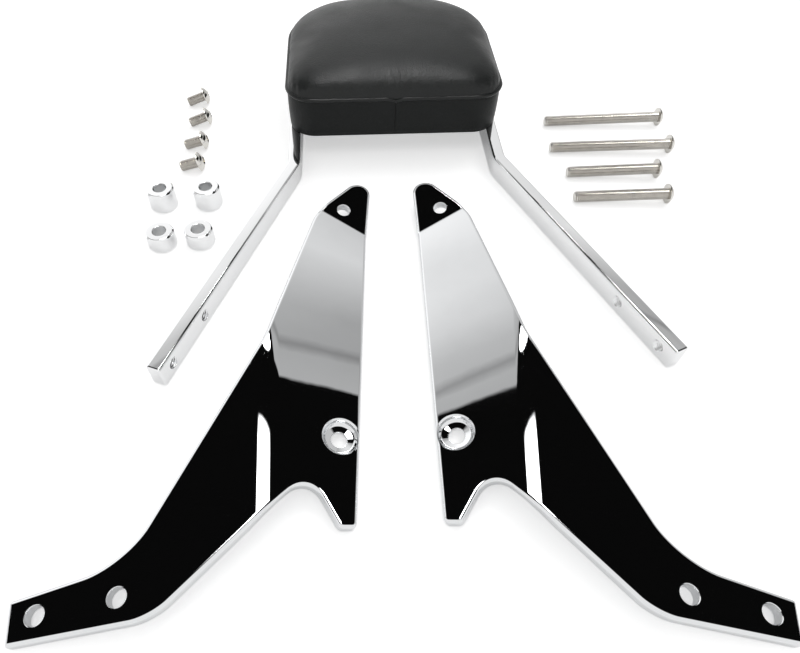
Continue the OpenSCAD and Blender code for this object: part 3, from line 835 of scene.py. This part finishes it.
def swellFace(piece):
    # blown up a little as cloth sewn down along the seam, each point kept within the cap
    before = [v.co.copy() for v in piece.data.vertices]
    rim = piece.vertex_groups.new(name="sewn")
    rim.add([i for i, co in enumerate(before) if co.z < (seamZ + 0.5) * mm], 1.0, "REPLACE")
    cloth = piece.modifiers.new("cloth", "CLOTH")
    cloth.settings.use_pressure = True
    cloth.settings.uniform_pressure_force = crown["pressure"]
    cloth.settings.effector_weights.gravity = 0
    cloth.settings.vertex_group_mass = "sewn"
    cloth.settings.quality = 6
    scene = bpy.context.scene
    for frameNumber in range(1, 21):
        scene.frame_set(frameNumber)
    graph = bpy.context.evaluated_depsgraph_get()
    blown = [v.co.copy() for v in piece.evaluated_get(graph).data.vertices]
    piece.modifiers.clear()
    scene.frame_set(1)
    for vert, old, new in zip(piece.data.vertices, before, blown):
        move = new - old
        if move.length > crown["cap"] * mm:
            move *= crown["cap"] * mm / move.length
        vert.co = old + move
    piece.vertex_groups.clear()


# how the face creases, in mm: waves follow the seam, fine wrinkles stand over the notch, and
# each front corner is puckered
crease = {"wave": 0.35, "waveUp": 3, "waveReach": 6, "fine": 0.22, "fineUp": 9, "fineReach": 6,
          "fineWidth": 14, "pucker": 0.8, "cornerX": 66, "cornerWidth": 14, "frontDepth": 30}


def hill(distance, width):
    return math.exp(-(distance / width) ** 2)


def shapePadFace(piece):
    # softens the remesh, then adds the creases
    bm = bmesh.new()
    bm.from_mesh(piece.data)
    for i in range(6):
        bmesh.ops.smooth_vert(bm, verts=[v for v in bm.verts if v.co.z > (seamZ + 1) * mm],
                              factor=0.5, use_axis_x=True, use_axis_y=True, use_axis_z=True)
    bmesh.ops.subdivide_edges(bm, edges=bm.edges[:], cuts=1, use_grid_fill=True, smooth=0.6)
    bm.normal_update()
    for vert in bm.verts:
        x, y, z = vert.co.x / mm, vert.co.y / mm, vert.co.z / mm
        above = z - seamZ
        if above < 0.5:
            continue
        near = hill(above - crease["waveUp"], crease["waveReach"])
        push = near * crease["wave"] * noise.noise(Vector((x * 0.28, y * 0.28, z * 0.05)))
        if y < pad["gap"] + crease["frontDepth"]:
            drift = noise.noise(Vector((x * 0.2, z * 0.12, 5.0))) * 3
            fine = hill(x, crease["fineWidth"]) * hill(above - crease["fineUp"], crease["fineReach"])
            push += crease["fine"] * fine * math.sin(x * 1.3 + drift)
            corner = hill(abs(x) - crease["cornerX"], crease["cornerWidth"]) * near
            push += crease["pucker"] * corner * noise.noise(Vector((x * 0.5, 3.0, z * 0.12)))
        vert.co += vert.normal * push * mm
    bm.to_mesh(piece.data)
    bm.free()
    piece.data.shade_smooth()


padFace = buildPadFace()
remeshFace(padFace)
swellFace(padFace)
shapePadFace(padFace)
subdivide = padFace.modifiers.new("subdivide", "SUBSURF")
subdivide.levels = 1
subdivide.render_levels = 1
placePiece(padFace, toUpright, "vinyl", "pad_face_cover", "pad_foam")


# side band, in mm: (step in, height) of the rings at its turned edges, how full it is between
# them, and the butt join at the front as (distance from its line, depth)
sideBand = {"lowEdge": ((1.7, 0), (0.6, 0.4), (0.3, 1.4)), "highEdge": ((0.6, 29.2), (1.7, 29.8)),
            "wallFrom": 1.6, "wall": 26.6, "inset": 0.3, "full": 0.35,
            "joinCuts": (-2.4, -1.2, -0.5, -0.2, 0.2, 0.5, 1.2, 2.4),
            "join": ((0.35, 0.45), (0.8, 0.1), (3, -0.12))}


def buildBand():
    back = pad["back"]
    layers = [(inset, back + up) for inset, up in sideBand["lowEdge"]]
    for i in range(1, 9):
        full = sideBand["full"] * math.sin(math.pi * i / 8) ** 0.8
        up = sideBand["wallFrom"] + sideBand["wall"] * i / 8
        layers.append((sideBand["inset"] - full, back + up))
    layers += [(inset, back + up) for inset, up in sideBand["highEdge"]]
    bm = bmesh.new()
    loftRings(bm, layers)
    for offset in sideBand["joinCuts"]:
        bmesh.ops.bisect_plane(bm, geom=everything(bm), plane_co=(offset, 0, 0),
                               plane_no=(1, 0, 0))
    for vert in bm.verts:
        x, y, z = vert.co
        if y < pad["gap"] + 6 and back + 1 < z < seamZ - 1:
            vert.co.y += next((deep for reach, deep in sideBand["join"] if abs(x) < reach), 0)
    toMetres(bm)
    return makeObject(bm, "pad_band_vinyl", vinylBand, 35)


padBand = buildBand()
placePiece(padBand, toUpright, "vinyl", "pad_side_band", "pad_back_cover")


# piping: a round cord along the seam; its two ends meet at the front and dip into the seam
piping = {"thick": 2.7, "inwards": 0.1, "frontSteps": (1.2, 1.2, 1.4, 1.6, 2.0, 3.0), "notch": 7,
          "notchDown": 2.2, "notchIn": 0.7, "waver": 0.5}


def extendSteps(bm, ring, offset, steps):
    for i in range(steps):
        ring = extendRing(bm, ring, [part / steps for part in offset])
    return ring


def buildPiping():
    half, r = pad["width"] / 2, piping["thick"] / 2
    low, high = pad["gap"], pad["gap"] + pad["height"]
    bm = bmesh.new()
    bmesh.ops.create_circle(bm, cap_ends=False, segments=14, radius=r)
    bmesh.ops.rotate(bm, verts=bm.verts, matrix=Matrix.Rotation(math.pi / 2, 3, "Y"))
    bmesh.ops.translate(bm, verts=bm.verts, vec=(0, low + piping["inwards"], seamZ))
    ring = bm.edges[:]
    straight = half - pad["lowRadius"]
    for part in piping["frontSteps"]:
        ring = extendRing(bm, ring, (part, 0, 0))
        straight -= part
    ring = extendSteps(bm, ring, (straight, 0, 0), 10)
    ring = bendRing(bm, ring, (half - pad["lowRadius"], low + pad["lowRadius"], seamZ), 90, 14)
    ring = extendSteps(bm, ring, (0, pad["height"] - pad["lowRadius"] - pad["topRadius"], 0), 8)
    ring = bendRing(bm, ring, (half - pad["topRadius"], high - pad["topRadius"], seamZ), 90, 20)
    extendSteps(bm, ring, (pad["topRadius"] - half, 0, 0), 4)
    bmesh.ops.mirror(bm, geom=everything(bm), axis="X", merge_dist=0.001)
    closeUp(bm, 0.001)
    for vert in bm.verts:
        x, y = vert.co.x, vert.co.y
        if y < low + 6:
            dip = max(0, 1 - abs(x) / piping["notch"]) ** 1.6
            vert.co.z -= piping["notchDown"] * dip
            vert.co.y += piping["notchIn"] * dip
        vert.co.z += piping["waver"] * noise.noise(Vector((x * 0.09, y * 0.09, 7.0)))
    toMetres(bm)
    return makeObject(bm, "pad_piping_vinyl", vinylPiping, 60)


padPiping = buildPiping()
placePiece(padPiping, toUpright, "piping", "pad_piping")
print("pad ready")


# the CAD nodes that stay: fixing plate, board, nuts, screws and washers behind the pad
for name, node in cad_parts.items():
    if node.hide_render:
        continue
    if name == "pad_fixing_plate":
        finish = chrome
    elif name == "pad_base_board":
        finish = board
    else:
        finish = zinc
    node.data.materials.clear()
    node.data.materials.append(finish)


# stage: a white floor that keeps soft shadows, and the studio that the chrome reflects
studio = {"floor": 0.9, "floorSize": 12, "floorGlow": 0.42, "mirrorGlow": 0.1, "fill": 0.75,
          "lightPlace": (0.35, 0.9, 1.1), "lightSize": 0.9, "lightPower": 6}


def buildFloor():
    bm = bmesh.new()
    bmesh.ops.create_grid(bm, x_segments=1, y_segments=1, size=studio["floorSize"])
    # a hair low, clear of the faces that rest on it
    bmesh.ops.translate(bm, verts=bm.verts, vec=(0, 0, -0.0003))
    mesh = bpy.data.meshes.new("floor")
    bm.to_mesh(mesh)
    bm.free()
    floor = bpy.data.objects.new("floor", mesh)
    bpy.context.scene.collection.objects.link(floor)
    material = bpy.data.materials.new("white floor")
    material.use_nodes = True
    tree = material.node_tree
    tree.nodes.clear()
    out = addNode(tree, "ShaderNodeOutputMaterial")
    matt = addNode(tree, "ShaderNodeBsdfDiffuse")
    matt.inputs["Color"].default_value = (studio["floor"],) * 3 + (1,)
    glow = addNode(tree, "ShaderNodeEmission")
    rays = addNode(tree, "ShaderNodeLightPath")
    direct = mathNode(tree, "MULTIPLY", rays.outputs["Is Camera Ray"], studio["floorGlow"])
    mirrored = mathNode(tree, "MULTIPLY", rays.outputs["Is Glossy Ray"], studio["mirrorGlow"])
    strength = mathNode(tree, "ADD", direct, mirrored)
    tree.links.new(strength, glow.inputs["Strength"])
    both = addNode(tree, "ShaderNodeAddShader")
    tree.links.new(matt.outputs[0], both.inputs[0])
    tree.links.new(glow.outputs[0], both.inputs[1])
    tree.links.new(both.outputs[0], out.inputs["Surface"])
    mesh.materials.append(material)


# what polished metal sees above it, by a ray's direction: ahead is its y over z, and across its
# x over z. A dark ceiling ends at edge, and the wall beyond it goes by its stops
sky = {"edge": 0.62, "edgeLean": 0.079, "edgeRise": 0.13, "edgeReach": 0.27, "stopScale": 0.5,
       "lean": [(0.0, 0.0), (0.1, 0.55), (0.15, 0.385), (0.2, 0.16), (0.26, 0.39)],
       "wall": [(0.0, 0.003), (0.0025, 0.47), (0.02, 0.475), (0.06, 0.5), (0.1, 0.615), (0.15, 0.75),
                (0.176, 0.79), (0.2, 0.83), (0.3, 0.9), (0.5, 0.95)],
       "leanRange": (0.55, 1.25), "line": (0.6955, 0.119, 0.022, 0.33), "lineSoft": 0.02,
       "sideFrom": 1.25, "sideWidth": 0.3, "sideLevel": 0.6,
       "nearFrom": 0.3, "nearWidth": 0.15, "nearLevel": 0.9,
       "spotX": 0.14, "spotY": (0.648, 0.031), "spotSoft": 0.4,
       "lampX": 0.17, "lampY": (0.17, 0.3), "lampSoft": 0.05, "lampLevel": 10}


def ramp(tree, value, start, width):
    # 0 below start, 1 above start + width
    slope = mathNode(tree, "DIVIDE", mathNode(tree, "SUBTRACT", value, start), width)
    return mathNode(tree, "MINIMUM", mathNode(tree, "MAXIMUM", slope, 0), 1)


def band(tree, value, centre, halfWidth, edge):
    # 1 within halfWidth of the centre, with a soft edge inside it
    offset = mathNode(tree, "ABSOLUTE", mathNode(tree, "SUBTRACT", value, centre), 0)
    inner = mathNode(tree, "SUBTRACT", halfWidth, offset)
    return ramp(tree, inner, 0, edge)


def curve(tree, value, stops):
    # a number read off straight lines between stops
    node = addNode(tree, "ShaderNodeValToRGB")
    ends = node.color_ramp.elements
    ends[0].position, ends[1].position = stops[0][0], stops[-1][0]
    for spot, level in stops[1:-1]:
        ends.new(spot)
    for element, (spot, level) in zip(ends, stops):
        element.position = spot
        element.color = (level, level, level, 1)
    tree.links.new(value, node.inputs["Fac"])
    return node.outputs["Color"]


def farWall(tree, ahead, across):
    # the wall beyond the ceiling's edge, which bows up in the middle; a darker line crosses it
    calc = partial(mathNode, tree)
    edge = calc("ADD", calc("MULTIPLY", across, sky["edgeLean"]), sky["edge"])
    middle = calc("DIVIDE", calc("ABSOLUTE", across, 0), sky["edgeReach"])
    hump = calc("MAXIMUM", calc("SUBTRACT", 1, middle), 0)
    edge = calc("ADD", edge, calc("MULTIPLY", hump, sky["edgeRise"]))
    reach = calc("MULTIPLY", calc("SUBTRACT", ahead, edge), sky["stopScale"])
    wall, lean = curve(tree, reach, sky["wall"]), curve(tree, reach, sky["lean"])
    leaned = calc("SUBTRACT", 1, calc("MULTIPLY", across, lean))
    least, most = sky["leanRange"]
    leaned = calc("MINIMUM", calc("MAXIMUM", leaned, least), most)
    lineAt, lineLean, lineWidth, lineDepth = sky["line"]
    along = calc("SUBTRACT", ahead, calc("MULTIPLY", across, lineLean))
    line = band(tree, along, lineAt, lineWidth, sky["lineSoft"])
    kept = calc("SUBTRACT", 1, calc("MULTIPLY", line, lineDepth))
    return calc("MULTIPLY", calc("MULTIPLY", wall, leaned), kept)


def nearWalls(tree, ahead, across):
    # low walls to the sides and behind the camera
    calc = partial(mathNode, tree)
    side = ramp(tree, calc("ABSOLUTE", across, 0), sky["sideFrom"], sky["sideWidth"])
    near = ramp(tree, calc("MULTIPLY", ahead, -1), sky["nearFrom"], sky["nearWidth"])
    return calc("MAXIMUM", calc("MULTIPLY", side, sky["sideLevel"]),
                calc("MULTIPLY", near, sky["nearLevel"]))


def lampsAbove(tree, ahead, across):
    # an oblong lamp overhead, and a small oval one in front of the wall
    calc = partial(mathNode, tree)
    oblong = calc("MULTIPLY", band(tree, across, 0.0, sky["lampX"], sky["lampSoft"]),
                  band(tree, ahead, *sky["lampY"], sky["lampSoft"]))
    spotFar, spotHigh = sky["spotY"]
    wide = calc("DIVIDE", across, sky["spotX"])
    high = calc("DIVIDE", calc("SUBTRACT", ahead, spotFar), spotHigh)
    off = calc("ADD", calc("MULTIPLY", wide, wide), calc("MULTIPLY", high, high))
    oval = ramp(tree, calc("SUBTRACT", 1, off), 0, sky["spotSoft"])
    return calc("MULTIPLY", calc("MAXIMUM", oblong, oval), sky["lampLevel"])


def buildStudio():
    world = bpy.data.worlds.new("studio")
    bpy.context.scene.world = world
    world.use_nodes = True
    tree = world.node_tree
    tree.nodes.clear()
    calc = partial(mathNode, tree)
    out = addNode(tree, "ShaderNodeOutputWorld")
    way = addNode(tree, "ShaderNodeTexCoord")
    parts = addNode(tree, "ShaderNodeSeparateXYZ")
    tree.links.new(way.outputs["Generated"], parts.inputs[0])
    up = calc("MAXIMUM", parts.outputs["Z"], 0.001)
    ahead = calc("DIVIDE", parts.outputs["Y"], up)
    across = calc("DIVIDE", parts.outputs["X"], up)
    walls = calc("MAXIMUM", farWall(tree, ahead, across), nearWalls(tree, ahead, across))
    mirrored = addNode(tree, "ShaderNodeBackground", Color=(1, 1, 1, 1))
    tree.links.new(calc("MAXIMUM", walls, lampsAbove(tree, ahead, across)),
                   mirrored.inputs["Strength"])
    plain = addNode(tree, "ShaderNodeBackground", Color=(1, 1, 1, 1))
    rays = addNode(tree, "ShaderNodeLightPath")
    # the camera sees plain white behind the floor
    seen = calc("MULTIPLY", rays.outputs["Is Camera Ray"], 1 - studio["fill"])
    tree.links.new(calc("ADD", seen, studio["fill"]), plain.inputs["Strength"])
    choose = addNode(tree, "ShaderNodeMixShader")
    tree.links.new(rays.outputs["Is Glossy Ray"], choose.inputs[0])
    tree.links.new(plain.outputs[0], choose.inputs[1])
    tree.links.new(mirrored.outputs[0], choose.inputs[2])
    tree.links.new(choose.outputs[0], out.inputs["Surface"])


def addLight(name, place, size, power):
    data = bpy.data.lights.new(name, "AREA")
    data.size = size
    data.energy = power
    lamp = bpy.data.objects.new(name, data)
    lamp.location = place
    lamp.rotation_euler = (-Vector(place)).to_track_quat("-Z", "Y").to_euler()
    lamp.visible_glossy = False
    bpy.context.scene.collection.objects.link(lamp)


buildFloor()
buildStudio()
addLight("soft light", studio["lightPlace"], studio["lightSize"], studio["lightPower"])
bpy.context.scene.view_settings.view_transform = "Standard"
print("stage ready")
